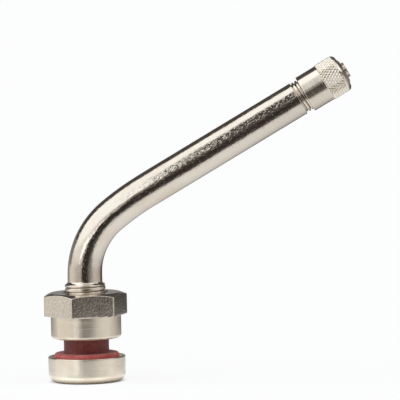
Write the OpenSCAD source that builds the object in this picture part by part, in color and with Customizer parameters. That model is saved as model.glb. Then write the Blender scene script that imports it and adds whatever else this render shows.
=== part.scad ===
// Angled clamp-in tyre valve for a truck rim, in millimetres, +Z up.
// The origin is on the foot's axis, where the rim's inner face seats on the grommet's flange.
// The rim hole goes over the grommet's sleeve, and the arm leans towards +X.
// Threads are drawn as plain cylinders at their outside diameter.

/* [Foot] */
// Diameter of the foot
foot_d = 17.8; // [16.8:0.1:20]
// Height of the foot up to its rim
foot_h = 5.8; // [4.5:0.1:8]
// Radius of the foot's lower edge
foot_edge_r = 1.9; // [1:0.1:3]
// Round on the foot's upper rim
foot_lip_r = 0.3; // [0.1:0.05:0.4]
// Depth of the recess for the grommet's flange
recess_depth = 1.2; // [0.6:0.1:1.4]
// Gap round the flange in its recess
recess_gap = 0.45; // [0.2:0.05:0.5]
// Countersink of the air bore in the foot, across
foot_sink_d = 5.2; // [4:0.1:7]

/* [Grommet] */
// Diameter of the flange where it sits in the foot
flange_d = 15.1; // [14.4:0.1:15.4]
// Diameter of the flange at the rim seat
flange_top_d = 14.6; // [12.6:0.1:14.8]
// Height of the flange
flange_h = 2; // [1.5:0.1:3]
// Height of the flange's straight lower band
flange_band_h = 1.3; // [0.6:0.1:1.5]
// Diameter of the sleeve that fills the rim hole
sleeve_d = 10.5; // [10.1:0.1:11.4]
// Length of sleeve between the rim seat and the collar
rim_gap = 3.4; // [2.5:0.1:6]
// Length of sleeve inside the collar
grip_len = 1.8; // [1.2:0.1:2.6]
// Narrowing of the sleeve inside the collar, on the radius
grip_taper = 0.2; // [0.05:0.05:0.4]
// Radial gap between the stem's neck and the grommet
neck_clear = 0.1; // [0.02:0.02:0.3]

/* [Collar and nut] */
// Diameter of the collar
collar_d = 16.2; // [14:0.1:18]
// Height of the collar
collar_h = 5.2; // [3.6:0.1:7]
// Chamfer on the collar's lower edge
collar_chamfer = 0.5; // [0.2:0.1:1]
// Radial gap between the sleeve and the collar's counterbore
sleeve_clear = 0.3; // [0.1:0.05:0.5]
// Radial gap between the base thread and the collar
collar_clear = 0.15; // [0.1:0.05:0.3]
// Width of the nut across its flats
nut_flats = 17; // [15:0.5:19]
// Height of the nut
nut_h = 5.3; // [4:0.1:7]
// Diameter of the flat on top of the nut, inside its chamfer
nut_face_d = 16.2; // [13.5:0.1:16.8]
// Slope of the nut's upper chamfer in degrees
nut_slope = 22; // [10:1:35]
// Turn of the nut on its thread in degrees
nut_clocking = 13; // [0:1:59]
// Radial gap between the base thread and the nut
thread_clear = 0.05; // [0.02:0.01:0.1]
// Countersink at both ends of the nut's thread
nut_sink = 0.5; // [0.2:0.1:0.8]

/* [Stem] */
// Diameter of the neck inside the grommet
neck_d = 8; // [6.5:0.1:8.6]
// Outside diameter of the base thread
thread_d = 9.4; // [9:0.1:9.8]
// Length of base thread that shows above the nut
thread_show = 1.9; // [1:0.1:5]
// Chamfer at the ends of the base thread
thread_chamfer = 0.5; // [0.2:0.1:0.6]
// Step from the grommet's top to the base thread
thread_step = 0.2; // [0.1:0.1:1]
// Outside diameter of the tube
tube_d = 8; // [7.7:0.1:8.4]
// Diameter of the air bore
bore_d = 3.2; // [2:0.1:3.6]
// Straight tube between the base thread and the bend
riser = 2.2; // [1:0.1:10]
// Radius of the main bend at the tube's centre
bend_r = 17.2; // [12:0.2:30]
// Angle of the main bend in degrees
bend_angle = 51; // [20:1:70]
// Radius of the slow bend that runs out into the arm
ease_r = 65; // [40:1:120]
// Angle of the slow bend in degrees
ease_angle = 9; // [3:1:15]
// Narrowing of the drawn tube at the slow bend, and again at the main bend
bend_draw = 0.08; // [0.04:0.02:0.2]
// Length of the straight arm up to the stem's mouth
arm_len = 50; // [36:0.5:110]
// Outside diameter of the valve thread
valve_thread_d = 7.7; // [7.3:0.1:7.7]
// Length of the valve thread
valve_thread_len = 9.4; // [8.6:0.1:12]
// Chamfer on the outside of the stem's mouth
mouth_chamfer = 0.4; // [0.2:0.1:0.5]

/* [Core chamber] */
// Diameter of the chamber that the core screws into
chamber_d = 5.3; // [5.1:0.1:5.6]
// Depth of the chamber, from the mouth to the seat
chamber_depth = 7.5; // [7:0.1:10]
// Length of the conical seat
seat_len = 1.5; // [1.2:0.1:2]
// Diameter of the bore below the seat
core_bore_d = 4; // [3.9:0.05:4.4]
// Free bore beyond the pin at full stroke
core_room = 1.7; // [0.5:0.1:4]

/* [Valve core] */
// Radial gap of the core's threads and seated rings
seat_clear = 0.05; // [0.02:0.01:0.08]
// Length of the plug's threaded part
plug_len = 3; // [2.6:0.1:3.4]
// Length of the plug's tangs
tang_len = 2; // [1.2:0.1:2.2]
// Width of the plug across its tangs
tang_w = 2.6; // [2.4:0.1:3.2]
// Width of the gap between the tangs
tang_gap = 1.5; // [1.3:0.1:1.8]
// Thickness of the plug's lip round the barrel's neck
lip_t = 0.5; // [0.3:0.1:0.7]
// Play of the barrel's head in the plug
head_play = 0.1; // [0.05:0.05:0.2]
// Diameter of the barrel's head
head_d = 3.2; // [3.1:0.1:3.6]
// Length of the barrel's head
head_len = 1.2; // [0.8:0.1:1.3]
// Diameter of the barrel's neck
barrel_neck_d = 2.6; // [2.3:0.1:2.7]
// Gap between the plug and the barrel's flange
plug_gap = 0.2; // [0.1:0.1:0.4]
// Diameter of the barrel's upper flange
barrel_flange_d = 4.4; // [4:0.1:4.6]
// Thickness of the barrel's flanges
barrel_flange_t = 0.5; // [0.3:0.1:0.6]
// Height of the upper flange's lower face above the seat
flange_above_seat = 0.5; // [0.3:0.1:0.8]
// Diameter of the barrel where the seal sits
seal_seat_d = 3.4; // [3.2:0.05:3.5]
// Length of the barrel's seal seat
seal_seat_len = 2.5; // [2.2:0.1:3]
// Diameter of the barrel below its flanges
barrel_d = 3.5; // [3.2:0.05:3.6]
// Length of the barrel below its flanges
barrel_len = 7; // [6:0.1:10]
// Diameter of the barrel's sealing edge
barrel_edge_d = 2.7; // [2.4:0.05:2.9]
// Height of the taper to the sealing edge
barrel_taper = 0.7; // [0.4:0.1:1.2]
// Diameter of the room for the spring
spring_room_d = 2.6; // [2.5:0.05:2.7]
// Thickness of the shoulder that the spring stands on
shoulder_t = 1.5; // [1:0.1:2]
// Diameter of the hole through the shoulder
shoulder_hole_d = 1.7; // [1.6:0.05:1.8]
// Diameter of the pin
pin_d = 1.2; // [1:0.05:1.25]
// Depth of the pin's end below the stem's mouth
pin_inset = 0.3; // [0.1:0.05:0.6]
// Radial gap round the pin in the barrel
pin_clear = 0.15; // [0.1:0.01:0.2]
// Diameter of the pin's button
button_d = 1.7; // [1.4:0.05:1.9]
// Length of the pin's button
button_len = 0.5; // [0.3:0.1:0.8]
// Diameter of the hole through the plug
plug_hole_d = 2.2; // [2:0.05:2.3]
// Diameter of the pin's collar
pin_collar_d = 2.2; // [2.1:0.05:2.3]
// Thickness of the pin's collar
pin_collar_t = 0.5; // [0.3:0.1:0.8]
// Gap over the pin's collar at rest
pin_collar_gap = 0.1; // [0.05:0.05:0.3]
// Travel of the pin
pin_stroke = 1.5; // [1:0.1:2]
// Thickness of the spring's wire
wire_d = 0.3; // [0.24:0.02:0.32]
// Diameter of the spring at its wire's centre
spring_d = 1.9; // [1.85:0.01:2]
// Open turns of the spring
spring_turns = 7; // [5:1:10]
// Diameter of the rubber washer in the cup
washer_d = 3.2; // [3:0.05:3.25]
// Thickness of the rubber washer
washer_t = 1; // [0.7:0.1:1.4]
// Height of the rubber washer above the cup
washer_proud = 0.2; // [0.1:0.05:0.4]
// Radial gap round the rubber washer and round the pin's end
washer_clear = 0.03; // [0.02:0.01:0.05]
// Thickness of the cup's wall
cup_wall = 0.2; // [0.15:0.05:0.25]
// Thickness of the cup's floor
cup_floor = 0.4; // [0.3:0.1:0.8]
// Diameter of the riveted end of the pin
rivet_d = 1.8; // [1.6:0.1:2.4]
// Height of the riveted end of the pin
rivet_h = 0.4; // [0.2:0.1:0.8]

/* [Cap] */
// Diameter of the cap's smooth skirt
cap_d = 8.8; // [8.5:0.05:9.6]
// Diameter of the cap's grip
cap_grip_d = 9.1; // [9:0.05:10]
// Length of the cap's skirt, below the grip
cap_skirt = 5.1; // [4:0.1:6.5]
// Length of valve thread that the cap covers
cap_cover = 7.6; // [6:0.1:8.2]
// Thickness of the cap's end
cap_end_t = 1.2; // [1:0.1:2]
// Radius of the grip's outer edge
cap_edge_r = 1.2; // [0.4:0.1:1.3]
// Rise of the cap's domed end
cap_dome = 0.4; // [0.1:0.05:0.6]
// Width of the flat in the middle of the cap's end
cap_flat_d = 4.4; // [4:0.1:5]
// Chamfer inside the cap's mouth
cap_mouth_chamfer = 0.3; // [0.1:0.05:0.3]
// Radial gap between the valve thread and the cap
cap_clear = 0.1; // [0.05:0.01:0.15]
// Thickness of the cap's gasket
gasket_t = 1; // [0.6:0.1:1.6]
// Radial gap between the gasket and the cap's bore
gasket_clear = 0.3; // [0.1:0.05:0.5]
// Thickness of the insert's plate
plate_t = 0.7; // [0.5:0.1:1.2]
// Radial gap between the insert's plate and the cap's bore
plate_clear = 0.5; // [0.2:0.05:0.8]
// Diameter of the insert's nose in the gasket
nose_d = 2.6; // [2.2:0.1:3]
// Height of the nose above the stem's mouth
nose_gap = 0.2; // [0.1:0.05:0.4]
// Diameter of the insert's shank through the cap's end
shank_d = 2.6; // [2:0.1:3]
// Gap round the shank, the nose and over the plate
swivel_clear = 0.05; // [0.03:0.01:0.1]
// Diameter of the insert's riveted head
stub_d = 3.7; // [3.4:0.1:3.9]
// Height of the insert's riveted head
stub_h = 0.6; // [0.5:0.05:1]
// Number of notches in the riveted head's edge
stub_notches = 8; // [5:1:12]
// Width and depth of a notch
notch = 0.5; // [0.3:0.05:0.6]

/* [Hidden] */
$fn = 96;
NICKEL = [0.80, 0.76, 0.70];
BRASS = [0.72, 0.57, 0.30];
STEEL = [0.62, 0.62, 0.60];
RED_RUBBER = [0.56, 0.12, 0.08];
BLACK_RUBBER = [0.06, 0.06, 0.06];
// overshoot of a cut beyond the face that it opens
cut = 1;
// stretches of the stem run into each other by this length
lap = 0.3;

// heights on the foot's axis
recess_z = -flange_h;
foot_rim_z = recess_z + recess_depth;
foot_z = foot_rim_z - foot_h;
collar_z = rim_gap;
sleeve_top_z = collar_z + grip_len;
thread_z = sleeve_top_z + thread_step;
nut_z = collar_z + collar_h;
nut_top_z = nut_z + nut_h;
thread_top_z = nut_top_z + thread_show;
bend_z = thread_top_z + riser;

// the tube's bend, and the arm's start and mouth
lean = bend_angle + ease_angle;
bend_end_x = bend_r * (1 - cos(bend_angle));
bend_end_z = bend_z + bend_r * sin(bend_angle);
ease_x = bend_end_x + ease_r * cos(bend_angle);
ease_z = bend_end_z - ease_r * sin(bend_angle);
arm_x = ease_x - ease_r * cos(lean);
arm_z = ease_z + ease_r * sin(lean);
mouth_x = arm_x + arm_len * sin(lean);
mouth_z = arm_z + arm_len * cos(lean);

// depths of the core below the stem's mouth
seat_end = chamber_depth + seat_len;
seal_top = chamber_depth - flange_above_seat;
flange_top = seal_top - barrel_flange_t;
plug_end = flange_top - plug_gap;
head_end = plug_end - lip_t - head_play;
head_top = head_end - head_len;
cavity_top = head_top - head_play;
plug_top = plug_end - plug_len;
tang_top = plug_top - tang_len;
seal_end = seal_top + seal_seat_len;
barrel_top = seal_end + barrel_flange_t;
barrel_end = barrel_top + barrel_len;
shoulder = barrel_end - shoulder_t;
room_top = seal_top + 2 * pin_collar_gap;
pin_collar_top = room_top + pin_collar_gap;
spring_top = pin_collar_top + pin_collar_t;
cup_top = barrel_end + washer_proud;
washer_end = barrel_end + washer_t;
cup_end = washer_end + cup_floor;
pin_end = cup_end + rivet_h;
core_bore_end = pin_end + pin_stroke + core_room;
bore_taper = (core_bore_d - bore_d) / 2;

// heights of the cap's pieces above the stem's mouth
gasket_top = gasket_t;
plate_top = gasket_top + plate_t;
cap_ceiling = plate_top + swivel_clear;
cap_end = cap_ceiling + cap_end_t;
cap_bore_d = valve_thread_d + 2 * cap_clear;

// a piece on the arm, with its own +Z running out of the stem's mouth from the mouth's plane
module at_mouth() {
    translate([mouth_x, 0, mouth_z])
        rotate([0, lean, 0])
            children();
}

// a turned piece on the arm, from points of [diameter, depth below the mouth]
module turned(points) {
    at_mouth()
        rotate_extrude()
            polygon([for (p = points) [p[0] / 2, -p[1]]]);
}

// a stretch of round bar bent in the XZ plane about a centre, from one angle through a sweep
module bent_bar(d, x, z, r, from, sweep) {
    translate([x, 0, z])
        rotate([90, 0, 0])
            rotate([0, 0, from])
                rotate_extrude(angle = sweep)
                    translate([r, 0])
                        circle(d = d);
}

// round bar along the stem's two bends and for a length of the straight arm
module bent_run(d, len) {
    bend_lap = lap / bend_r * 180 / PI;
    ease_lap = lap / ease_r * 180 / PI;
    bend_from = 180 - bend_angle - bend_lap;
    ease_from = 180 - lean - ease_lap;
    bent_bar(d - 2 * bend_draw, bend_r, bend_z, bend_r, bend_from, bend_angle + 2 * bend_lap);
    bent_bar(d - bend_draw, ease_x, ease_z, ease_r, ease_from, ease_angle + ease_lap);
    translate([arm_x, 0, arm_z])
        rotate([0, lean, 0])
            cylinder(d = d, h = len);
}

// half section of the foot, with its lower edge and upper rim rounded
module foot_section() {
    difference() {
        union() {
            translate([0, foot_z])
                square([foot_d / 2 - foot_edge_r, foot_edge_r]);
            translate([0, foot_z + foot_edge_r])
                square([foot_d / 2, foot_h - foot_edge_r - foot_lip_r]);
            translate([0, foot_rim_z - foot_lip_r])
                square([foot_d / 2 - foot_lip_r, foot_lip_r]);
            translate([foot_d / 2 - foot_edge_r, foot_z + foot_edge_r])
                circle(r = foot_edge_r);
            translate([foot_d / 2 - foot_lip_r, foot_rim_z - foot_lip_r])
                circle(r = foot_lip_r);
        }
        translate([0, recess_z])
            square([flange_d / 2 + recess_gap, recess_depth + cut]);
        translate([-foot_d, foot_z - cut])
            square([foot_d, foot_h + 2 * cut]);
    }
}

// half section of the neck, the base thread and the straight tube above it
module riser_section() {
    polygon([
        [0, recess_z],
        [neck_d / 2, recess_z],
        [neck_d / 2, thread_z],
        [thread_d / 2 - thread_chamfer, thread_z],
        [thread_d / 2, thread_z + thread_chamfer],
        [thread_d / 2, thread_top_z - thread_chamfer],
        [thread_d / 2 - thread_chamfer, thread_top_z],
        [tube_d / 2, thread_top_z + thread_chamfer],
        [tube_d / 2, bend_z],
        [0, bend_z]
    ]);
}

module air_bore() {
    translate([0, 0, foot_z - cut])
        cylinder(d = bore_d, h = bend_z - foot_z + cut);
    translate([0, 0, foot_z - cut])
        cylinder(d1 = foot_sink_d + 2 * cut, d2 = bore_d, h = (foot_sink_d - bore_d) / 2 + cut);
    bent_run(bore_d, arm_len - core_bore_end);
}

// the chamber, the conical seat and the bore of the valve core
module core_chamber() {
    turned([
        [0, -cut],
        [chamber_d + 2 * mouth_chamfer + 2 * cut, -cut],
        [chamber_d, mouth_chamfer],
        [chamber_d, chamber_depth],
        [core_bore_d, seat_end],
        [core_bore_d, core_bore_end],
        [bore_d, core_bore_end + bore_taper],
        [0, core_bore_end + bore_taper]
    ]);
}

module valve_stem() {
    color(NICKEL)
        difference() {
            union() {
                rotate_extrude() {
                    foot_section();
                    riser_section();
                }
                bent_run(tube_d, arm_len - valve_thread_len);
                turned([
                    [0, 0],
                    [valve_thread_d - 2 * mouth_chamfer, 0],
                    [valve_thread_d, mouth_chamfer],
                    [valve_thread_d, valve_thread_len + lap],
                    [0, valve_thread_len + lap]
                ]);
            }
            air_bore();
            core_chamber();
        }
}

module rim_grommet() {
    bore_r = neck_d / 2 + neck_clear;
    color(RED_RUBBER)
        rotate_extrude()
            polygon([
                [bore_r, recess_z],
                [flange_d / 2, recess_z],
                [flange_d / 2, recess_z + flange_band_h],
                [flange_top_d / 2, 0],
                [sleeve_d / 2, 0],
                [sleeve_d / 2, collar_z],
                [sleeve_d / 2 - grip_taper, sleeve_top_z],
                [bore_r, sleeve_top_z]
            ]);
}

module clamp_collar() {
    bore_r = thread_d / 2 + collar_clear;
    counter_r = sleeve_d / 2 + sleeve_clear;
    color(NICKEL)
        rotate_extrude()
            polygon([
                [counter_r, collar_z],
                [collar_d / 2 - collar_chamfer, collar_z],
                [collar_d / 2, collar_z + collar_chamfer],
                [collar_d / 2, nut_z],
                [bore_r, nut_z],
                [bore_r, sleeve_top_z],
                [counter_r, sleeve_top_z]
            ]);
}

module hex_nut() {
    corner_d = nut_flats / cos(30);
    bore_r = thread_d / 2 + thread_clear;
    drop = (corner_d - nut_face_d) / 2 * tan(nut_slope);
    color(NICKEL)
        difference() {
            intersection() {
                translate([0, 0, nut_z])
                    rotate([0, 0, nut_clocking])
                        cylinder(d = corner_d, h = nut_h, $fn = 6);
                rotate_extrude()
                    polygon([
                        [0, nut_z - cut],
                        [corner_d / 2, nut_z - cut],
                        [corner_d / 2, nut_top_z - drop],
                        [nut_face_d / 2, nut_top_z],
                        [0, nut_top_z]
                    ]);
            }
            rotate_extrude()
                polygon([
                    [0, nut_z - cut],
                    [bore_r + nut_sink + cut, nut_z - cut],
                    [bore_r, nut_z + nut_sink],
                    [bore_r, nut_top_z - nut_sink],
                    [bore_r + nut_sink + cut, nut_top_z + cut],
                    [0, nut_top_z + cut]
                ]);
        }
}

// half section of the cap's outside: skirt, grip with a rounded edge, and a low domed end
module cap_outside() {
    edge_z = cap_end - cap_dome - cap_edge_r;
    edge_r = cap_grip_d / 2 - cap_edge_r;
    grip_z = cap_skirt - cap_cover;
    translate([0, -cap_cover])
        square([cap_d / 2, cap_cover + edge_z]);
    translate([0, grip_z])
        square([cap_grip_d / 2, edge_z - grip_z]);
    intersection() {
        translate([edge_r, edge_z])
            circle(r = cap_edge_r);
        square([cap_grip_d, cap_end]);
    }
    polygon([
        [0, edge_z],
        [edge_r, edge_z],
        [edge_r, edge_z + cap_edge_r],
        [cap_flat_d / 2, cap_end],
        [0, cap_end]
    ]);
}

// half section of the cap's inside: chamfered mouth, thread bore and the shank's hole
module cap_inside() {
    bore_r = cap_bore_d / 2;
    hole_r = shank_d / 2 + swivel_clear;
    polygon([
        [-cut, -cap_cover - cut],
        [bore_r + cap_mouth_chamfer + cut, -cap_cover - cut],
        [bore_r, -cap_cover + cap_mouth_chamfer],
        [bore_r, cap_ceiling],
        [hole_r, cap_ceiling],
        [hole_r, cap_end + cut],
        [-cut, cap_end + cut]
    ]);
}

module cap_shell() {
    color(NICKEL)
        at_mouth()
            rotate_extrude()
                difference() {
                    cap_outside();
                    cap_inside();
                }
}

module cap_insert() {
    plate_d = cap_bore_d - 2 * plate_clear;
    color(NICKEL)
        difference() {
            turned([
                [0, -nose_gap],
                [nose_d, -nose_gap],
                [nose_d, -gasket_top],
                [plate_d, -gasket_top],
                [plate_d, -plate_top],
                [shank_d, -plate_top],
                [shank_d, -cap_end],
                [stub_d, -cap_end],
                [stub_d, -cap_end - stub_h],
                [0, -cap_end - stub_h]
            ]);
            for (i = [0:stub_notches - 1])
                at_mouth()
                    rotate([0, 0, i * 360 / stub_notches])
                        translate([stub_d / 2 - notch / 2, -notch / 2, cap_end])
                            cube([notch + cut, notch, stub_h + cut]);
        }
}

module cap_gasket() {
    gasket_d = cap_bore_d - 2 * gasket_clear;
    hole_d = nose_d + 2 * swivel_clear;
    color(BLACK_RUBBER)
        turned([
            [hole_d, 0],
            [gasket_d, 0],
            [gasket_d, -gasket_top],
            [hole_d, -gasket_top]
        ]);
}

// threaded head of the core: two flat tangs, and a cavity that the barrel's head swivels in
module core_plug() {
    plug_d = chamber_d - 2 * seat_clear;
    cavity_d = head_d + 2 * head_play;
    lip_hole_d = barrel_neck_d + 2 * head_play;
    color(BRASS)
        difference() {
            turned([
                [plug_hole_d, tang_top],
                [plug_d, tang_top],
                [plug_d, plug_end],
                [lip_hole_d, plug_end],
                [lip_hole_d, plug_end - lip_t],
                [cavity_d, plug_end - lip_t],
                [cavity_d, cavity_top],
                [plug_hole_d, cavity_top]
            ]);
            for (side = [0, 180])
                at_mouth()
                    rotate([0, 0, side])
                        translate([-plug_d, tang_w / 2, -plug_top])
                            cube([2 * plug_d, plug_d, tang_len + cut]);
            at_mouth()
                translate([-tang_gap / 2, -plug_d, -plug_top])
                    cube([tang_gap, 2 * plug_d, tang_len + cut]);
        }
}

module core_barrel() {
    ring_d = core_bore_d - 2 * seat_clear;
    throat_d = pin_d + 2 * pin_clear;
    color(BRASS)
        turned([
            [throat_d, head_top],
            [head_d, head_top],
            [head_d, head_end],
            [barrel_neck_d, head_end],
            [barrel_neck_d, flange_top],
            [barrel_flange_d, flange_top],
            [barrel_flange_d, seal_top],
            [seal_seat_d, seal_top],
            [seal_seat_d, seal_end],
            [ring_d, seal_end],
            [ring_d, barrel_top],
            [barrel_d, barrel_top],
            [barrel_d, barrel_end - barrel_taper],
            [barrel_edge_d, barrel_end],
            [shoulder_hole_d, barrel_end],
            [shoulder_hole_d, shoulder],
            [spring_room_d, shoulder],
            [spring_room_d, room_top],
            [throat_d, room_top]
        ]);
}

// conical seal: its flank follows the seat in the stem
module barrel_seal() {
    inner_d = seal_seat_d + 2 * seat_clear;
    wide_d = chamber_d - 4 * seat_clear;
    narrow_d = core_bore_d - 4 * seat_clear;
    color(BLACK_RUBBER)
        turned([
            [inner_d, seal_top],
            [barrel_flange_d, seal_top],
            [wide_d, chamber_depth],
            [narrow_d, seat_end],
            [narrow_d, seal_end],
            [inner_d, seal_end]
        ]);
}

module core_pin() {
    color(STEEL)
        turned([
            [0, pin_inset],
            [button_d, pin_inset],
            [button_d, pin_inset + button_len],
            [pin_d, pin_inset + button_len],
            [pin_d, pin_collar_top],
            [pin_collar_d, pin_collar_top],
            [pin_collar_d, spring_top],
            [pin_d, spring_top],
            [pin_d, cup_end],
            [rivet_d, cup_end],
            [rivet_d, pin_end],
            [0, pin_end]
        ]);
}

// closed coil spring: one close turn at each end and open turns between
module core_spring() {
    sides = 8;
    steps = 16;
    turns = spring_turns + 2;
    count = turns * steps;
    free = shoulder - spring_top - wire_d;
    close_pitch = 1.12 * wire_d;
    open_pitch = (free - 2 * close_pitch) / spring_turns;
    function rise(t) = min(t, 1) * close_pitch + max(0, min(t - 1, spring_turns)) * open_pitch
        + max(0, t - 1 - spring_turns) * close_pitch;
    function ring_point(i, j) =
        let (t = i / steps, a = 360 * t, b = 360 * j / sides, r = spring_d / 2 + wire_d / 2 * cos(b))
        [r * cos(a), r * sin(a), -shoulder + wire_d / 2 + rise(t) + wire_d / 2 * sin(b)];
    function ring(i) = [for (j = [0:sides - 1]) i * sides + j];
    color(STEEL)
        at_mouth()
            polyhedron(
                points = [for (i = [0:count]) for (j = [0:sides - 1]) ring_point(i, j)],
                faces = concat(
                    [ring(0)],
                    [for (i = [0:count - 1]) for (j = [0:sides - 1])
                        let (k = (j + 1) % sides)
                        [i * sides + j, (i + 1) * sides + j, (i + 1) * sides + k, i * sides + k]],
                    [[for (j = [sides - 1:-1:0]) count * sides + j]]
                )
            );
}

module seat_cup() {
    hole_d = pin_d + 2 * washer_clear;
    inner_d = washer_d + 2 * washer_clear;
    outer_d = inner_d + 2 * cup_wall;
    color(BRASS)
        turned([
            [inner_d, cup_top],
            [outer_d, cup_top],
            [outer_d, cup_end],
            [hole_d, cup_end],
            [hole_d, washer_end],
            [inner_d, washer_end]
        ]);
}

module seat_seal() {
    hole_d = pin_d + 2 * washer_clear;
    color(BLACK_RUBBER)
        turned([
            [hole_d, barrel_end],
            [washer_d, barrel_end],
            [washer_d, washer_end],
            [hole_d, washer_end]
        ]);
}

valve_stem();
rim_grommet();
clamp_collar();
hex_nut();
cap_shell();
cap_insert();
cap_gasket();
core_plug();
core_barrel();
barrel_seal();
core_pin();
core_spring();
seat_cup();
seat_seal();
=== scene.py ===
import math

import bpy
import numpy as np
from mathutils import Matrix, Vector


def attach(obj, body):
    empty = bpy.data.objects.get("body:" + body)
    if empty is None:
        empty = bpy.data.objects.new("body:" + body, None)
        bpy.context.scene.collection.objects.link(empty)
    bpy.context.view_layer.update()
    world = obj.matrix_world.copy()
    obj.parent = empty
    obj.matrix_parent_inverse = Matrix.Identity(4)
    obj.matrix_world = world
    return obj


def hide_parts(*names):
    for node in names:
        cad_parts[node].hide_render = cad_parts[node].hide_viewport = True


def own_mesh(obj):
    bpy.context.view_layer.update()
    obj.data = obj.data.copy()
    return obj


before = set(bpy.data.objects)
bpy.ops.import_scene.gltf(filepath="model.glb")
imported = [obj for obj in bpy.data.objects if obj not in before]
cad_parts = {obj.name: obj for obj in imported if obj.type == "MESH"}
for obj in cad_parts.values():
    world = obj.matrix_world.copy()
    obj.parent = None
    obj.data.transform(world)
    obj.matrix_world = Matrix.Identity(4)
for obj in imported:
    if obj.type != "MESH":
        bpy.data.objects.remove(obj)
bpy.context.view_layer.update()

# Lengths are in millimetres, as in the part's source, and become metres when a mesh is made.
MM = 0.001
TAU = 2 * math.pi
DEGREES = 360 / TAU

# The stem's path: straight foot and riser, main bend, slow bend, straight arm.
BEND_Z, BEND_R, BEND_A = 18.0, 17.2, math.radians(51)
EASE_R, LEAN, ARM_LEN = 65.0, math.radians(60), 50.0
S_EASE = BEND_Z + BEND_R * BEND_A
S_ARM = S_EASE + EASE_R * (LEAN - BEND_A)
S_MOUTH = S_ARM + ARM_LEN

# Heights on the foot's axis, from the plane where the rim seats on the grommet.
UNDERSIDE, RECESS_Z, FLANGE_TOP = -6.6, -2.0, 0.0
COLLAR_LOW, SLEEVE_TOP, COLLAR_TOP, NUT_TOP = 3.4, 5.2, 8.6, 13.9
# Height of the cap's end above the stem's mouth.
CAP_END = 2.95
# Radii of the tube, its bore and the roots of its two threads.
TUBE_R, BORE_R, BASE_ROOT, VALVE_ROOT = 4.0, 1.6, 4.3, 3.37


def path(s):
    """Centre (x, z) and lean of the stem's axis at each length s, which equals z on the foot's axis."""
    s = np.asarray(s, float)
    bend = np.clip((s - BEND_Z) / BEND_R, 0, BEND_A)
    slow = np.clip((s - S_EASE) / EASE_R, 0, LEAN - BEND_A)
    arm = np.maximum(s - S_ARM, 0)
    x = BEND_R * (1 - np.cos(bend)) + EASE_R * (math.cos(BEND_A) - np.cos(BEND_A + slow))
    z = np.minimum(s, BEND_Z) + BEND_R * np.sin(bend) + EASE_R * (np.sin(BEND_A + slow) - math.sin(BEND_A))
    return x + arm * math.sin(LEAN), z + arm * math.cos(LEAN), bend + slow


def on_stem(s, r, a):
    """Points at length s, radius r and angle a round the stem's axis."""
    x, z, lean = path(s)
    across = r * np.cos(a)
    return np.stack([x + across * np.cos(lean), r * np.sin(a), z - across * np.sin(lean)], -1)


def on_arm(s, r, a):
    """Points at height s above the stem's mouth on the arm's axis."""
    return on_stem(S_MOUTH + np.asarray(s, float), r, a)


def ease(t):
    """Smooth change from 0 to 1."""
    t = np.clip(t, 0, 1)
    return t * t * (3 - 2 * t)


def zigzag(t):
    """1 at each whole t, 0 halfway between."""
    return np.abs(2 * (t - np.floor(t)) - 1)


def rounded(points, loop=True, steps=4, hold=0.05):
    """Profile of (radius, height[, round]) points with its corners rounded and a point kept close to each round."""
    most, roomy = 0.46, 2.2
    pts = [np.array(p[:2], float) for p in points]
    out = []
    for i, v in enumerate(pts):
        size = points[i][2] if len(points[i]) > 2 else 0
        if size == 0 or (not loop and i in (0, len(pts) - 1)):
            out.append(tuple(v))
            continue
        back, on = pts[i - 1] - v, pts[(i + 1) % len(pts)] - v
        back_len, on_len = np.hypot(*back), np.hypot(*on)
        t = min(size, most * back_len, most * on_len)
        a, b = v + back / back_len * t, v + on / on_len * t
        if back_len > roomy * (t + hold):
            out.append(tuple(v + back / back_len * (t + hold)))
        for k in range(steps + 1):
            u = k / steps
            out.append(tuple((1 - u) ** 2 * a + 2 * u * (1 - u) * v + u * u * b))
        if on_len > roomy * (t + hold):
            out.append(tuple(v + on / on_len * (t + hold)))
    return out


def skin(name, rings, flow, materials, pick=None, loop=True):
    """One closed mesh over rings of points. flow is the unbent place of each point, where the finishes are laid out."""
    n, m = rings.shape[:2]
    i, j = np.meshgrid(np.arange(n if loop else n - 1), np.arange(m), indexing="ij")
    i_next, j_next = (i + 1) % n, (j + 1) % m
    faces = np.stack([i * m + j, i * m + j_next, i_next * m + j_next, i_next * m + j], -1).reshape(-1, 4)
    ends = [] if loop else [list(range(m))[::-1], list(range((n - 1) * m, n * m))]
    points = rings.reshape(-1, 3)
    # faces that enclose less than nothing look inward, and are turned round
    p, q, r, s = (points[faces[:, c]] for c in range(4))
    volume = sum(np.einsum("ij,ij->i", p, np.cross(b, c)).sum() for b, c in ((q, r), (r, s)))
    if volume < 0:
        faces, ends = faces[:, ::-1], [e[::-1] for e in ends]
    mesh = bpy.data.meshes.new(name)
    mesh.from_pydata((points * MM).tolist(), [], faces.tolist() + ends)
    unbent = mesh.attributes.new("flow", "FLOAT_VECTOR", "POINT")
    unbent.data.foreach_set("vector", flow.reshape(-1).astype(np.float32))
    # the first UV axis runs along the piece, so that tangents follow the turning
    uv = mesh.uv_layers.new(name="along")
    corner = np.zeros(len(mesh.loops), np.int32)
    mesh.loops.foreach_get("vertex_index", corner)
    f = flow.reshape(-1, 3)[corner]
    along = np.stack([f[:, 2] * 0.1, np.arctan2(f[:, 1], f[:, 0]) / TAU + 0.5], -1)
    uv.data.foreach_set("uv", along.reshape(-1))
    for mat in materials:
        mesh.materials.append(mat)
    if pick is not None:
        index = np.repeat(np.asarray(pick, np.int32)[: i.shape[0]], m)
        mesh.polygons.foreach_set("material_index", np.concatenate([index, np.zeros(len(ends), np.int32)]))
    mesh.polygons.foreach_set("use_smooth", np.ones(len(mesh.polygons), bool))
    mesh.update()
    obj = bpy.data.objects.new(name, mesh)
    bpy.context.scene.collection.objects.link(obj)
    return obj


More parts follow.
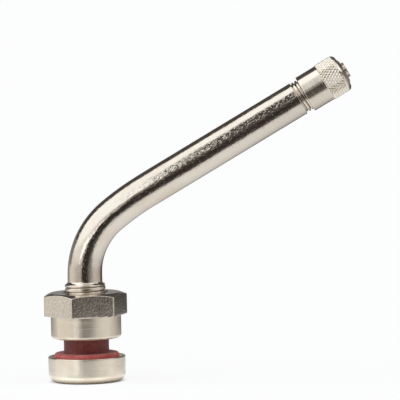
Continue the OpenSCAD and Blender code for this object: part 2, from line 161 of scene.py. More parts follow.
def turned(name, profile, place, materials, around, loop=True, shape=None, pick=None):
    """A turned piece from a profile of (radius, height); shape(r, s, a) may vary the radius round it."""
    r, s = (np.repeat(column[:, None], around, 1) for column in np.array(profile, float).T)
    a = np.repeat((np.arange(around) / around * TAU)[None], len(profile), 0)
    if shape:
        r = shape(r, s, a)
    # a flat face has no height of its own, so the layout runs along the profile instead
    along = np.concatenate([[0], np.cumsum(np.hypot(np.diff(r[:, 0]), np.diff(s[:, 0])))])
    flow = np.stack([r * np.cos(a), r * np.sin(a), np.repeat(along[:, None], around, 1)], -1)
    return skin(name, place(s, r, a), flow, materials, pick, loop)


def keep(obj, body, node):
    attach(obj, body)
    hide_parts(node)


class Val:
    """A shader node's output, which can be added, multiplied and so on."""

    def __init__(self, tree, socket):
        self.tree, self.socket = tree, socket

    def math(self, op, *others):
        node = self.tree.nodes.new("ShaderNodeMath")
        node.operation = op
        for pin, x in zip(node.inputs, (self, *others)):
            feed(self.tree, pin, x)
        return Val(self.tree, node.outputs[0])

    def __add__(self, o):
        return self.math("ADD", o)

    def __sub__(self, o):
        return self.math("SUBTRACT", o)

    def __mul__(self, o):
        return self.math("MULTIPLY", o)

    def __neg__(self):
        return self.math("MULTIPLY", -1.0)

    def __rsub__(self, o):
        return -self + o

    __radd__ = __add__

    def step(self, a, b, low=0.0, high=1.0):
        """Smooth change from low at a to high at b."""
        if a > b:
            a, b, low, high = b, a, high, low
        node = self.tree.nodes.new("ShaderNodeMapRange")
        node.interpolation_type = "SMOOTHSTEP"
        for key, x in (("From Min", a), ("From Max", b), ("To Min", low), ("To Max", high)):
            node.inputs[key].default_value = x
        self.tree.links.new(self.socket, node.inputs["Value"])
        return Val(self.tree, node.outputs["Result"])

    def ramp(self, lo, hi, stops, interpolation="EASE"):
        """Grey or colour at points between lo and hi."""
        node = self.tree.nodes.new("ShaderNodeValToRGB")
        node.color_ramp.interpolation = interpolation
        marks = node.color_ramp.elements
        while len(marks) < len(stops):
            marks.new(0.5)
        for mark, (x, c) in zip(marks, stops):
            mark.position = (x - lo) / (hi - lo)
            mark.color = (*c, 1) if isinstance(c, tuple) else (c, c, c, 1)
        share = (self - lo) * (1 / (hi - lo))
        self.tree.links.new(share.socket, node.inputs["Fac"])
        return Val(self.tree, node.outputs["Color"])


def feed(tree, pin, x):
    """Link a value to a node's pin, or set the pin to a number or a colour."""
    if isinstance(x, Val):
        tree.links.new(x.socket, pin)
    else:
        pin.default_value = (*x, 1) if isinstance(x, tuple) else x


def blend(tree, f, a, b, colour=False):
    """Value or colour a at f 0 and b at f 1."""
    node = tree.nodes.new("ShaderNodeMix")
    colour = colour or isinstance(a, tuple) or isinstance(b, tuple)
    node.data_type = "RGBA" if colour else "FLOAT"
    for k, x in zip((0, 6, 7) if colour else (0, 2, 3), (f, a, b)):
        feed(tree, node.inputs[k], x)
    return Val(tree, node.outputs[2 if colour else 0])


def axes(tree, vector):
    """The x, y and z of a vector."""
    node = tree.nodes.new("ShaderNodeSeparateXYZ")
    tree.links.new(vector, node.inputs[0])
    return [Val(tree, out) for out in node.outputs]


class Finish:
    """A principled material whose noises are laid out on the piece's unbent place, in millimetres."""

    def __init__(self, name, metallic):
        self.mat = bpy.data.materials.new(name)
        self.mat.use_nodes = True
        self.tree = self.mat.node_tree
        self.shader = self.tree.nodes["Principled BSDF"]
        self.set("Metallic", metallic)

    def set(self, key, x):
        feed(self.tree, self.shader.inputs[key], x)

    def place(self, scale=(1, 1, 1), cad=False):
        """The unbent place times a scale; a CAD node has only its own coordinates, in metres."""
        if cad:
            src = self.tree.nodes.new("ShaderNodeTexCoord").outputs["Object"]
            scale = tuple(x / MM for x in scale)
        else:
            node = self.tree.nodes.new("ShaderNodeAttribute")
            node.attribute_name = "flow"
            src = node.outputs["Vector"]
        mul = self.tree.nodes.new("ShaderNodeVectorMath")
        mul.operation = "MULTIPLY"
        self.tree.links.new(src, mul.inputs[0])
        mul.inputs[1].default_value = scale
        return mul.outputs[0]

    def noise(self, scale, detail=2.0, rough=0.5, cad=False):
        """Noise from 0 to 1 with scale cells a millimetre in each direction."""
        node = self.tree.nodes.new("ShaderNodeTexNoise")
        for key, x in (("Scale", 1.0), ("Detail", detail), ("Roughness", rough)):
            node.inputs[key].default_value = x
        self.tree.links.new(self.place(scale, cad), node.inputs["Vector"])
        return Val(self.tree, node.outputs[0])

    def bump(self, height, depth_mm):
        node = self.tree.nodes.new("ShaderNodeBump")
        node.inputs["Strength"].default_value = 1.0
        node.inputs["Distance"].default_value = depth_mm * MM
        self.tree.links.new(height.socket, node.inputs["Height"])
        self.tree.links.new(node.outputs[0], self.shader.inputs["Normal"])

    def brushed(self, amount):
        """Stretches gloss along the piece, across its turning lines."""
        node = self.tree.nodes.new("ShaderNodeTangent")
        node.direction_type = "UV_MAP"
        node.uv_map = "along"
        self.tree.links.new(node.outputs[0], self.shader.inputs["Tangent"])
        self.set("Anisotropic", amount)

    def mix(self, f, a, b, colour=False):
        return blend(self.tree, f, a, b, colour)


NICKEL, NICKEL_WARM, NICKEL_DULL = (0.71, 0.625, 0.53), (0.67, 0.58, 0.475), (0.42, 0.365, 0.31)
SATIN, SATIN_WARM = (0.8, 0.7, 0.575), (0.76, 0.645, 0.51)
CAP_SATIN, CAP_SATIN_WARM = (0.8, 0.705, 0.59), (0.76, 0.665, 0.55)
# The darker of these two colours is painted shade for the roots of the threads.
BARE, ROOT_SHADE = (0.8, 0.715, 0.615), (0.38, 0.34, 0.29)
BASE_CREST, VALVE_CREST = (0.88, 0.785, 0.66), (0.88, 0.785, 0.68)
KNURL, KNURL_WARM = (0.93, 0.84, 0.72), (0.88, 0.78, 0.655)
# The sleeve's two reds are a shaded copy of the rubber and the lip's two reds a lit copy: painted shade and painted
# light.
SHADED_SLEEVE_RED, SHADED_SLEEVE_BLOOM = (0.118, 0.0135, 0.0105), (0.258, 0.052, 0.043)
LIT_LIP_RED, LIT_LIP_BLOOM, BLOOM_SHEEN = (0.47, 0.055, 0.044), (0.67, 0.165, 0.142), (1.0, 0.7, 0.64)
BLACK, BLACK_GREY = (0.018, 0.018, 0.019), (0.035, 0.034, 0.034)
BRASS, BRASS_WORN = (0.72, 0.52, 0.24), (0.62, 0.42, 0.18)
STEEL, STEEL_WORN = (0.56, 0.56, 0.55), (0.46, 0.45, 0.44)


def nickel_tube():
    """Drawn and plated tube: bright, with fine lines along it, small pits and a few dull patches."""
    m = Finish("nickel_tube", metallic=1.0)
    patch = m.noise((0.22, 0.22, 0.12), 3)
    pits = m.noise((4.2, 4.2, 1.5), 2, 0.6)
    lines = m.noise((2.6, 2.6, 0.8), 2)
    m.set("Base Color", m.mix(patch.step(0.42, 0.68), NICKEL, NICKEL_WARM))
    m.set("Roughness", patch.step(0.35, 0.7, 0.03, 0.055) + pits.step(0.5, 0.64, 0.0, 0.15))
    m.bump(lines + pits.step(0.57, 0.69) * 0.26, 0.022)
    return m.mat


def satin(name, low, high, stretch, light, warm):
    """Turned faces: satin, spread across fine turning lines."""
    m = Finish(name, metallic=1.0)
    patch = m.noise((0.25, 0.25, 0.25), 3)
    rings = m.noise((0.08, 0.08, 2.4), 2)
    streak = m.noise((1.2, 1.2, 0.12), 2)
    m.set("Base Color", m.mix(patch.step(0.4, 0.7), light, warm))
    m.set("Roughness", patch.step(0.3, 0.7, low, high) + rings.step(0.45, 0.65, 0.0, 0.06))
    m.bump(rings * 0.35 + streak * 0.7, 0.012)
    m.brushed(stretch)
    return m.mat


def nickel_hex():
    """Drawn hexagon bar: grainy flats with faint lines along the bar."""
    m = Finish("nickel_hex", metallic=1.0)
    patch = m.noise((0.3, 0.3, 0.3), 3)
    speck = m.noise((2.2, 2.2, 2.2), 2)
    lines = m.noise((1.4, 1.4, 0.06), 3, 0.6)
    dull = speck.step(0.4, 0.62) * 0.36 + lines.step(0.5, 0.75, 0.0, 0.22)
    m.set("Base Color", m.mix(dull, NICKEL, NICKEL_DULL))
    m.set("Roughness", patch.step(0.3, 0.7, 0.14, 0.19))
    m.bump(speck + lines * 0.12, 0.045)
    return m.mat


def nickel_cut(name, light=BARE, dull=NICKEL, root=None, worn=0.09, stretch=0.0):
    """Cut and plated faces; in a thread, darkened at its root radius as painted shade."""
    m = Finish(name, metallic=1.0)
    patch = m.noise((0.6, 0.6, 0.6), 3)
    grain = m.noise((4.0, 4.0, 4.0), 2)
    base = m.mix(patch.step(0.4, 0.65), light, dull)
    # painted shade: a thread darkens towards a grey-brown at its root radius
    if root:
        x, y, _ = axes(m.tree, m.place())
        radius = (x * x + y * y).math("SQRT")
        base = m.mix(radius.step(root + 0.2, root), base, ROOT_SHADE, colour=True)
    m.set("Base Color", base)
    m.set("Roughness", patch.step(0.3, 0.7, worn, worn + 0.06))
    m.bump(grain, 0.006)
    if stretch:
        m.brushed(stretch)
    return m.mat


def red_rubber():
    """Moulded rubber with a pale bloom, and painted light and shade: a lit, light red on the flange and a shaded, dark
    red on the sleeve.
    """
    m = Finish("red_rubber", metallic=0.0)
    m.set("Specular IOR Level", 0.3)
    m.set("Sheen Weight", 0.42)
    m.set("Sheen Roughness", 0.5)
    m.set("Sheen Tint", BLOOM_SHEEN)
    bloom = m.noise((0.55, 0.55, 0.7), 4, 0.65)
    speck = m.noise((3.0, 3.0, 3.0), 3, 0.6)
    pale = bloom * 0.6 + speck * 0.4
    # painted shade on the sleeve and painted light on the flange's lip, chosen by the place along the profile
    sleeve = m.mix(pale.step(0.36, 0.66), SHADED_SLEEVE_RED, SHADED_SLEEVE_BLOOM)
    lip = m.mix(pale.step(0.36, 0.66), LIT_LIP_RED, LIT_LIP_BLOOM)
    _, _, run = axes(m.tree, m.place())
    m.set("Base Color", m.mix(run.step(5.6, 7.2), lip, sleeve, colour=True))
    m.set("Roughness", speck.step(0.3, 0.7, 0.4, 0.62))
    m.bump(speck * 0.6 + bloom * 0.4, 0.05)
    return m.mat


def black_rubber():
    """Matte moulded seals."""
    m = Finish("black_rubber", metallic=0.0)
    speck = m.noise((4, 4, 4), 2, cad=True)
    m.set("Base Color", m.mix(speck.step(0.35, 0.7), BLACK, BLACK_GREY))
    m.set("Roughness", speck.step(0.3, 0.7, 0.5, 0.7))
    m.bump(speck, 0.02)
    return m.mat


def core_metal(name, colour, worn):
    """Small turned parts of the valve core."""
    m = Finish(name, metallic=1.0)
    patch = m.noise((0.8, 0.8, 0.8), 3, cad=True)
    fine = m.noise((6, 6, 6), 2, cad=True)
    m.set("Base Color", m.mix(patch.step(0.4, 0.7), colour, worn))
    m.set("Roughness", fine.step(0.3, 0.7, 0.22, 0.34))
    m.bump(fine, 0.004)
    return m.mat


tube_mat, hex_mat, plain_mat = nickel_tube(), nickel_hex(), nickel_cut("nickel_plain")
base_thread_mat = nickel_cut("nickel_base_thread", BASE_CREST, BARE, BASE_ROOT, worn=0.17, stretch=0.85)
valve_thread_mat = nickel_cut("nickel_thread", VALVE_CREST, BARE, VALVE_ROOT, worn=0.13, stretch=0.7)
knurl_mat = nickel_cut("nickel_knurl", KNURL, KNURL_WARM)
edge_mat = nickel_cut("nickel_edge", worn=0.2)
satin_mat = satin("nickel_satin", 0.19, 0.24, 0.9, SATIN, SATIN_WARM)
cap_mat = satin("nickel_cap", 0.18, 0.24, 0.9, CAP_SATIN, CAP_SATIN_WARM)
red_mat, black_mat = red_rubber(), black_rubber()
brass_mat = core_metal("core_brass", BRASS, BRASS_WORN)
steel_mat = core_metal("core_steel", STEEL, STEEL_WORN)


def ridge(t, flank):
    """Height of a thread from 0 to 1 at t turns of its pitch: flat crest, straight flanks, narrow root."""
    return np.clip((zigzag(t) - 0.1) / flank, 0, 1)


def stem():
    """Foot, neck, threads, bent tube, mouth, chamber and bore as one skin, ring by ring."""
    tube, smooth, plain, base, valve = range(5)
    materials = [tube_mat, satin_mat, plain_mat, base_thread_mat, valve_thread_mat]
    around = 128
    a = np.arange(around) / around * TAU
    rings, finish = [], []

    def add(s, r, mat):
        rings.append([np.broadcast_to(np.asarray(v, float), around) for v in (s, r)])
        finish.append(mat)

    def run(points, mat):
        for r, s in points:
            add(s, r, mat)

    # foot: underside, round lower edge, side, lip, recess
    foot_r, edge_r, lip, recess_r = 8.9, 1.9, -0.8, 8.0
    run([(r, UNDERSIDE) for r in (2.66, 4.4, 6.4)], smooth)
    for t in np.linspace(0, math.pi / 2, 17):
        add(UNDERSIDE + edge_r - edge_r * math.cos(t), foot_r - edge_r + edge_r * math.sin(t), smooth)
    run([(foot_r, s) for s in (-3.9, -2.4, -1.4)], smooth)
    run(rounded([(foot_r, lip - 0.5), (foot_r, lip, 0.22), (foot_r - 0.5, lip)], loop=False), smooth)
    run(rounded([
        (recess_r + 0.3, lip), (recess_r, lip, 0.08), (recess_r, RECESS_Z), (TUBE_R, RECESS_Z, 0.15),
        (TUBE_R, -0.5)], loop=False), plain)
    # neck and base thread, which runs in and out on a cone
    pitch, height, flank, lo, hi, step = 1.0, 0.38, 0.26, 5.42, 15.96, 0.08
    run([(TUBE_R, 2.0), (TUBE_R, 5.3), (4.05, 5.4), (4.15, lo)], smooth)
    for s in np.arange(lo + step, hi, step):
        body = BASE_ROOT + height * ridge(s / pitch - a / TAU, flank)
        cone = np.minimum(4.12 + (s - lo), 4.06 + (16.25 - s) * 1.15)
        add(s, np.minimum(body, cone), base if s < 15.65 else plain)
    run([(4.22, 16.0), (4.08, 16.2), (4.02, 16.3), (TUBE_R, 16.4)], plain)
    # tube, a little narrower where it is bent
    start, waist, fade, thread_lo = 16.6, 0.08, 7.0, S_MOUTH - 9.2
    for s in np.concatenate([
            np.linspace(start, BEND_Z, 4), np.linspace(BEND_Z, S_EASE, 56)[1:],
            np.linspace(S_EASE, S_ARM, 28)[1:], np.linspace(S_ARM, thread_lo - 0.42, 24)[1:]]):
        back = ease((s - S_EASE) / fade + 0.5) + ease((s - S_ARM) / fade + 0.5)
        add(s, TUBE_R - waist * ease((s - start) / fade) + waist / 2 * back, tube)
    # shoulder, valve thread and mouth
    run_in = 3.46
    run(rounded([
        (TUBE_R, thread_lo - 0.4), (TUBE_R, thread_lo - 0.2, 0.18), (3.5, thread_lo - 0.1, 0.08),
        (run_in, thread_lo)], loop=False, hold=0.02), plain)
    pitch, height, flank, step = 0.794, 0.48, 0.45, 0.05
    for s in np.arange(thread_lo + step, S_MOUTH - 0.03, step):
        body = VALVE_ROOT + height * ridge((s - thread_lo - 0.12) / pitch - a / TAU + 0.25, flank)
        cone = run_in + np.minimum((s - thread_lo) * 3, S_MOUTH - s)
        add(s, np.minimum(body, cone), valve)
    run([(3.44, S_MOUTH - 0.005), (3.3, S_MOUTH), (3.08, S_MOUTH), (3.04, S_MOUTH - 0.02)], plain)
    # core chamber by its depth from the mouth, then the bore through both bends to the foot
    chamber_r, seat_r = 2.65, 2.0
    for r, depth in (
            (chamber_r + 0.01, 0.4), (chamber_r, 0.45), (chamber_r, 4), (chamber_r, 7.5), (seat_r, 9.0),
            (seat_r, 14), (seat_r, 21.6), (seat_r, 23.9), (BORE_R, 24.3)):
        add(S_MOUTH - depth, r, plain)
    for s in np.concatenate([
            np.linspace(S_MOUTH - 25, S_ARM, 6), np.linspace(S_ARM, S_EASE, 10)[1:],
            np.linspace(S_EASE, BEND_Z, 24)[1:], np.linspace(BEND_Z, UNDERSIDE + 1.1, 8)[1:]]):
        add(s, BORE_R, plain)
    run([(BORE_R, UNDERSIDE + 1.0), (2.1, UNDERSIDE + 0.5), (2.56, UNDERSIDE + 0.04)], smooth)

    s, r = (np.array([ring[k] for ring in rings]) for k in range(2))
    aa = np.repeat(a[None], len(rings), 0)
    flow = np.stack([r * np.cos(aa), r * np.sin(aa), s], -1)
    obj = skin("stem_skin", on_stem(s, r, aa), flow, materials, finish)
    keep(obj, "stem", "valve_stem")


def grommet():
    """Flange in the foot's recess and a sleeve up into the collar."""
    bore, flange_r, sleeve_r = 4.1, 7.55, 5.25
    profile = rounded([
        (bore, RECESS_Z), (flange_r, RECESS_Z, 0.25), (flange_r, -0.7, 0.3), (7.3, FLANGE_TOP, 0.3),
        (sleeve_r, FLANGE_TOP, 0.2), (sleeve_r, COLLAR_LOW), (5.05, SLEEVE_TOP, 0.2), (bore, SLEEVE_TOP)], steps=6)

    def shape(r, s, a):
        # the sleeve has slumped a little between the collar and the flange
        uneven = 1 + 0.5 * np.sin(3 * a + 1) + 0.3 * np.sin(7 * a)
        slump = 0.05 * np.sin(math.pi * np.clip(s / COLLAR_LOW, 0, 1)) * uneven
        return r - np.where((s > 0.2) & (s < COLLAR_LOW - 0.1) & (r > 4.6), slump, 0)

    middle = [(sleeve_r, z) for z in np.linspace(0.35, 3.2, 12)]
    cut = next(i for i, p in enumerate(profile) if p[1] > COLLAR_LOW - 0.1)
    obj = turned("grommet_skin", profile[:cut] + middle + profile[cut:], on_stem, [red_mat], 144, shape=shape)
    keep(obj, "stem", "rim_grommet")


def collar():
    """Round ring, bored out below for the sleeve and with a broken lower edge."""
    outer, bore, sink = 8.1, 4.85, 5.55
    profile = rounded([
        (sink, COLLAR_LOW, 0.1), (outer - 0.5, COLLAR_LOW, 0.15), (outer, COLLAR_LOW + 0.5, 0.25),
        (outer, COLLAR_TOP, 0.12), (bore, COLLAR_TOP, 0.1), (bore, SLEEVE_TOP), (sink, SLEEVE_TOP)])
    obj = turned("collar_skin", profile, on_stem, [satin_mat], 192)
    keep(obj, "collar", "clamp_collar")


def nut():
    """Hexagon with rounded corners, a turned chamfer on top and a countersunk bore."""
    grainy, plain = range(2)
    flat, low, top, bore, sink = 8.5, COLLAR_TOP, NUT_TOP, 4.75, 5.25
    face, slope = 8.1, math.tan(math.radians(22))
    turn, half, soft, broken = math.radians(13), math.pi / 6, 0.5, 0.18
    # one sixth of the outline: flat, then a rounded corner
    run = (flat - soft) * math.tan(half)
    across = np.concatenate([[-run, 0.06 - run], np.linspace(-run * 0.9, run * 0.9, 13), [run - 0.06, run]])
    one = [(flat, y) for y in across]
    for t in np.linspace(0, 2 * half, 7)[1:-1]:
        one.append((flat - soft + soft * math.cos(t), run + soft * math.sin(t)))
    # flats face the middle between two corners
    turns = [turn + half + k * 2 * half for k in range(6)]
    x, y = np.array([
        (x * math.cos(t) - y * math.sin(t), x * math.sin(t) + y * math.cos(t)) for t in turns for x, y in one]).T
    a, out = np.arctan2(y, x), np.hypot(x, y)
    crown = top - np.maximum(out - face, 0) * slope
    rings, finish = [], []

    def add(r, z, mat):
        r = np.broadcast_to(r, out.shape)
        rings.append(np.stack([r * np.cos(a), r * np.sin(a), np.broadcast_to(z, out.shape)], -1))
        finish.append(mat)

    for r, drop in (
            (bore, 0.5), (bore + 0.03, 0.45), (sink - 0.05, 0.04), (sink, 0), (6.0, 0), (7.2, 0), (7.9, 0),
            (face - 0.1, 0.003), (face, 0.02)):
        add(r, top - drop, plain)
    # the cone runs into the flats over a soft edge, and the lower edge is broken
    for f in (0.12, 0.35, 0.65):
        r = face + (out - broken - face) * f
        add(r, top - 0.02 - np.maximum(r - face, 0) * slope, plain)
    for u in np.arange(8) / 7:
        pull, drop = broken * (1 - u) ** 2, 0.22 * u * u
        add(out - pull, crown - drop + pull * slope - 0.012 * (1 - u), grainy)
    for z in (12.2, 11.2, 10.2, 9.2):
        add(out, z, grainy)
    for u in np.arange(7) / 6:
        add(out - broken * u * u, low + 0.2 * (1 - u) ** 2, grainy)
    for f in (0.02, 0.3, 0.7):
        add(out - 0.2 - (out - 5.6) * f, low, plain)
    for r, rise in ((sink, 0), (sink - 0.05, 0.04), (bore + 0.03, 0.45), (bore, 0.5), (bore, 2.4)):
        add(r, low + rise, plain)
    rings = np.array(rings)
    obj = skin("nut_skin", rings, rings, [hex_mat, plain_mat], finish)
    keep(obj, "nut", "hex_nut")


def cap():
    """Smooth skirt, diamond-knurled grip, rounded edge and a low domed end, bored through for the shank."""
    smooth, plain, knurl, rim = range(4)
    materials = [cap_mat, plain_mat, knurl_mat, edge_mat]
    mouth, grip, end = -7.6, -2.5, CAP_END
    skirt_r, grip_r, edge_r, dome, dome_r, thread_r, hole_r, roof = 4.4, 4.55, 1.2, 0.4, 2.2, 3.95, 1.35, 1.2
    edge = end - dome - edge_r
    starts, depth, pitch_ratio, around = 40, 0.12, 0.62, 480
    skirt = rounded([(4.1, mouth, 0.05), (skirt_r, mouth, 0.25), (skirt_r, grip)], loop=False)
    outer = [(4.0, mouth + 0.15)] + skirt[:-1]
    outer += [(skirt_r, s) for s in np.linspace(mouth + 0.5, grip - 0.08, 10)]
    outer += [(skirt_r, grip - 0.01), (skirt_r + 0.05, grip + 0.03)]
    outer += [(grip_r, s) for s in np.linspace(grip + 0.1, edge, 62)]
    for t in np.linspace(0, math.pi / 2, 22)[1:]:
        r = edge_r - 0.004 * math.sin(2 * t)
        outer.append((grip_r - edge_r + r * math.cos(t), edge + r * math.sin(t)))
    for r in (3.2, 3.0, 2.7, 2.4, 2.1, 1.8):
        outer.append((r, end - dome * ease((r - dome_r) / (grip_r - edge_r - dome_r))))
    outer += [(hole_r + 0.07, end), (hole_r, end - 0.08), (hole_r, end - roof)]
    outer += [(thread_r - 0.05, end - roof), (thread_r, end - roof - 0.05), (thread_r, -2.0), (thread_r, mouth + 0.3)]

    def shape(r, s, a):
        # little pyramids between two sets of crossing grooves, running out before the rounded edge
        u, w = a * starts / TAU, s / (TAU * grip_r / starts) * pitch_ratio
        cut = np.maximum(zigzag(u + w), zigzag(u - w))
        on = ease((s - grip - 0.05) / 0.12) * ease((edge + 0.5 - s) / 0.4) * (r > 4.1)
        return r - depth * np.clip((cut - 0.3) / 0.62, 0, 1) * on

    def pick(r, s):
        if r < 4.0 and s < edge:
            return plain
        return rim if s > edge + 0.45 else knurl if s > grip else smooth

    obj = turned("cap_skin", outer, on_arm, materials, around, shape=shape, pick=[pick(r, s) for r, s in outer])
    knurled = np.array([grip < s < edge + 0.4 and r > 4.1 for r, s in outer])
    obj.data.polygons.foreach_set("use_smooth", np.repeat(~knurled, around))
    keep(obj, "cap", "cap_shell")


def insert():
    """Plate inside the cap and its shank, riveted over on the end as a notched stub."""
    low, high = CAP_END, 3.54
    shank_r, stub_r, plate_r, axis_r = 1.3, 1.84, 3.4, 0.02
    notches, notch_r, notch_half = 8, 1.6, 0.27
    plate = [(axis_r, 0.2), (1.2, 0.2), (shank_r, 0.3), (shank_r, 1.0), (plate_r, 1.0), (plate_r, 1.68), (shank_r, 1.7)]
    stub = rounded([
        (shank_r, low), (stub_r, low, 0.05), (stub_r, high, 0.14), (1.2, high), (0.9, high - 0.06),
        (axis_r, high - 0.06)], loop=False, hold=0.04)[1:]
    middle = [(stub_r, s) for s in np.linspace(low + 0.15, high - 0.2, 4)]
    k = next(i for i, p in enumerate(stub) if p[1] > low + 0.3)
    profile = plate + [(shank_r, low - 0.01)] + stub[:k] + middle + stub[k:]

    def shape(r, s, a):
        t = (a * notches / TAU) % 1.0
        near = np.minimum(t, 1 - t) * TAU * 1.85 / notches
        cut = ease((notch_half - near) / 0.06)
        return np.where(s > low + 0.01, r - (np.minimum(r, 1.85) - notch_r) * cut * (r > notch_r), r)

    obj = turned("insert_skin", profile, on_arm, [edge_mat], 256, loop=False, shape=shape)
    keep(obj, "cap_seal", "cap_insert")


def spring():
    """Coil spring round the core pin, with a close turn at each end."""
    wire, mean, low, length, turns, close, stroke = 0.15, 0.95, -15.5, 7.7, 7, 0.336, 1.5
    per_turn, sides, play = 24, 10, 0.02
    t = np.arange((turns + 2) * per_turn + 1) / per_turn
    step = (length - 2 * wire - 2 * close) / turns
    rise = np.minimum(t, 1) * close + np.clip(t - 1, 0, turns) * step + np.maximum(t - 1 - turns, 0) * close
    b = np.arange(sides) / sides * TAU
    s = low + wire + rise[:, None] + wire * np.sin(b)
    r = np.broadcast_to(mean + wire * np.cos(b), s.shape)
    a = np.broadcast_to(TAU * t[:, None], s.shape)
    flow = np.stack([r * np.cos(a), r * np.sin(a), s], -1)
    obj = skin("spring_skin", on_arm(s, r, a), flow, [steel_mat], loop=False)
    keep(obj, "stem", "core_spring")
    foot = on_arm(low, 0.0, 0.0) * MM
    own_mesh(obj)


stem()
grommet()
collar()
nut()
cap()
insert()
spring()

# Pieces that only show when the cap is off keep their own solids.
for mat, slot, nodes in (
        (black_mat, "black_rubber", ("cap_gasket", "barrel_seal", "seat_seal")),
        (brass_mat, "core_brass", ("core_plug", "core_barrel", "seat_cup")),
        (steel_mat, "core_steel", ("core_pin",))):
    for node in nodes:
        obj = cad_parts[node]
        obj.data.materials.clear()
        obj.data.materials.append(mat)


def floor():
    """White sheet under the valve. The camera sees it white throughout; mirrored, it ends in the dark of the room."""
    mesh = bpy.data.meshes.new("floor")
    side, front, z = 6.0, -0.5, UNDERSIDE * MM
    mesh.from_pydata([(-side, front, z), (side, front, z), (side, side, z), (-side, side, z)], [], [(0, 1, 2, 3)])
    mat = bpy.data.materials.new("floor")
    mat.use_nodes = True
    tree = mat.node_tree
    paper = tree.nodes["Principled BSDF"]
    paper.inputs["Base Color"].default_value = (0.88, 0.88, 0.88, 1)
    paper.inputs["Roughness"].default_value = 0.6
    spot = tree.nodes.new("ShaderNodeNewGeometry")
    x, y = (v * 1000 for v in axes(tree, spot.outputs["Position"])[:2])
    reach = (x * x + y * y).math("SQRT")
    turn = x.math("ARCTAN2", -y) * DEGREES
    slant = y + x * 0.5
    ray = tree.nodes.new("ShaderNodeLightPath")
    seen, mirrored = (Val(tree, ray.outputs[k]) for k in ("Is Camera Ray", "Is Glossy Ray"))

    # the sheet as the metal mirrors it: it dims to the back, and glows round the foot
    fall = y.ramp(-120, 160, [(-120, 0.8), (-20, 0.8), (20, 0.7), (50, 0.5), (100, 0.36), (160, 0.3)])
    near = reach.step(40, 14) * 0.12
    ring = reach.step(13.5, 10.5) * x.step(10, 3) * x.step(-11, -7) * 0.62
    ahead = x.step(-26, -8) * x.step(30, 12) * y.step(-9.5, -13) * reach.step(25, 16) * 0.42
    behind = x.step(8, 13) * y.step(1, 9) * reach.step(26, 18) * 0.4
    left = turn.step(-17, -22) * turn.step(-75, -45) * reach.step(100, 50) * reach.step(17, 30) * 0.5
    glow = (fall * 1.36 + near + ring) * slant.step(-74, -30, 0.45, 1.0)
    glow = glow * (1 - ahead) * x.step(45, 100, 1.0, 0.82) * (1 - behind) * (1 + left)
    white = tree.nodes.new("ShaderNodeEmission")
    feed(tree, white.inputs["Strength"], seen * 1.08 + mirrored * glow)
    feed(tree, white.inputs["Color"], blend(tree, mirrored, (1.0, 1.0, 1.0), (0.925, 0.965, 1.0)))

    # under the foot the sheet is only lit, so that it keeps the shadow there
    clear, bare = reach.step(8.0, 10.6), reach.step(7.2, 9.4)
    sheet = tree.nodes.new("ShaderNodeMixShader")
    feed(tree, sheet.inputs[0], (seen * bare * 0.8).math("MAXIMUM", mirrored * clear))
    tree.links.new(paper.outputs[0], sheet.inputs[1])
    tree.links.new(white.outputs[0], sheet.inputs[2])

    # the sheet's edge as the metal mirrors it
    inside = slant.step(-74, -70) * ((x - 25).math("ABSOLUTE").step(190, 70) * y.step(150, 70))
    gone = tree.nodes.new("ShaderNodeMixShader")
    feed(tree, gone.inputs[0], mirrored * (1 - inside))
    tree.links.new(sheet.outputs[0], gone.inputs[1])
    tree.links.new(tree.nodes.new("ShaderNodeBsdfTransparent").outputs[0], gone.inputs[2])
    tree.links.new(gone.outputs[0], tree.nodes["Material Output"].inputs["Surface"])
    mesh.materials.append(mat)
    obj = bpy.data.objects.new("floor", mesh)
    bpy.context.scene.collection.objects.link(obj)


# The room's brightness round the horizon, by degrees to the right of the camera.
HORIZON = [
    (-180, 0.3), (-150, 0.26), (-129, 0.52), (-105, 0.9), (-84, 0.86), (-67, 0.74), (-52, 0.57), (-36, 0.6),
    (-26, 0.45), (-19, 0.24), (-8, 0.08), (0, 0.06), (16, 0.08), (30, 0.22), (45, 0.38), (60, 0.6), (77, 0.68),
    (97, 0.6), (119, 0.44), (132, 0.13), (146, 0.07), (165, 0.07), (180, 0.3)]
# Towards the camera, by degrees above the horizon: a little light over it, darkest below it.
AHEAD = [(-60, 0.03), (0, 0.04), (9, 0.09), (20, 0.11), (40, 0.12)]
# Colour and gain by brightness: the bright sheets are a little cooler than the room.
TINT = [
    (0, (1, 0.92, 0.9)), (0.3, (1, 0.97, 0.93)), (0.8, (1, 1, 0.975)), (1.1, (0.93, 0.97, 1)),
    (1.4, (0.87, 0.935, 1))]
HALF_GAIN = [(0.8, 0.5), (1.1, 0.54), (1.4, 0.58)]
BRIGHTEST = 1.5


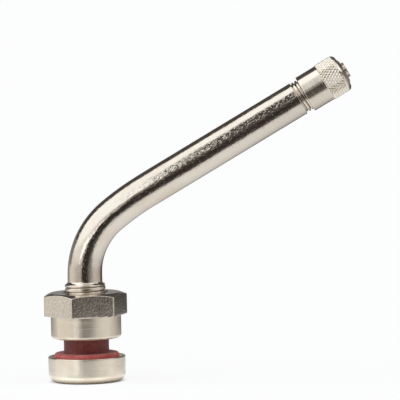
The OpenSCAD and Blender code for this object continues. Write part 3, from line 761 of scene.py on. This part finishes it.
def studio():
    """Soft light from above and the left, white paper behind, and the dark room on the camera's side."""
    world = bpy.data.worlds.new("studio")
    bpy.context.scene.world = world
    world.use_nodes = True
    tree = world.node_tree
    tree.nodes.clear()
    x, y, z = axes(tree, tree.nodes.new("ShaderNodeTexCoord").outputs["Generated"])
    az = x.math("ARCTAN2", -y) * DEGREES
    el = z.math("ARCSINE") * DEGREES

    room = blend(tree, y.step(-0.92, -0.985), az.ramp(-180, 180, HORIZON), el.ramp(-60, 40, AHEAD))
    gap = blend(tree, el.step(15, 21), room, 0.085)
    # low sheets at both sides, each ending sharply beside the camera
    left, right = az.step(-8, -13) * az.step(-84, -70), az.step(27, 34) * az.step(95, 80)
    wing = left.math("MAXIMUM", right) * el.step(1, 5) * el.step(13, 7)
    sheet = az.step(-48, -34, 0.95, 1.3) + az.step(-44, -36) * az.step(-20, -27) * 0.6
    level = blend(tree, wing, gap, blend(tree, az.step(-5, 5), sheet, 0.85))

    # the soft light above the left shoulder: its edge runs along the arm, so it narrows towards the cap
    along = x * math.sin(LEAN) + z * math.cos(LEAN)
    lift = (z * math.sin(LEAN) - x * math.cos(LEAN)).math("ARCTAN2", -y) * DEGREES
    left = along.step(-0.034, -0.046) * lift.step(19, 22)
    right = along.step(0.08, 0.15) * lift.step(19, 23)
    over = left.math("MAXIMUM", right).math("MAXIMUM", lift.step(53, 71))
    soft = x.step(-0.25, -0.05, 1.34, 0.75) + x.step(0.2, 0.6, 0.0, 0.6)
    front = blend(tree, over * el.step(3, 22), level, soft)

    # behind the valve: a pale sill, dark above it, and the soft light again overhead
    sill = blend(tree, el.step(0, 3), level, 0.28)
    rear = blend(tree, el.step(58, 66), blend(tree, el.step(9, 17), sill, 0.08), front)
    light = blend(tree, y.step(0.24, 0.36), front, rear)
    gain = light.ramp(0, BRIGHTEST, HALF_GAIN, "LINEAR") * 2
    tint = light.ramp(0, BRIGHTEST, TINT, "LINEAR")

    ray = tree.nodes.new("ShaderNodeLightPath")
    seen = Val(tree, ray.outputs["Is Camera Ray"])
    background = tree.nodes.new("ShaderNodeBackground")
    feed(tree, background.inputs["Strength"], blend(tree, seen, light, 0.975) * blend(tree, seen, gain, 1.0))
    feed(tree, background.inputs["Color"], blend(tree, seen, tint, (1.0, 1.0, 1.0)))
    out = tree.nodes.new("ShaderNodeOutputWorld")
    tree.links.new(background.outputs[0], out.inputs["Surface"])


def camera():
    """Long lens, a little above the foot, rolled as the photograph is."""
    el, roll, distance = math.radians(4.0), math.radians(1.246), 0.9
    target = Vector((0.02686, 0, 0.03457))
    back = Vector((0, -math.cos(el), math.sin(el)))
    level, upright = Vector((1, 0, 0)), Vector((0, math.sin(el), math.cos(el)))
    right = math.cos(roll) * level - math.sin(roll) * upright
    up = math.sin(roll) * level + math.cos(roll) * upright
    data = bpy.data.cameras.new("camera")
    data.lens, data.sensor_width, data.sensor_fit = 352.4, 36, "HORIZONTAL"
    data.clip_start, data.clip_end = 0.01, 10
    obj = bpy.data.objects.new("camera", data)
    bpy.context.scene.collection.objects.link(obj)
    m = Matrix((right, up, back)).transposed().to_4x4()
    m.translation = target + back * distance
    obj.matrix_world = m
    bpy.context.scene.camera = obj


floor()
studio()
camera()
bpy.context.scene.view_settings.view_transform = "Standard"
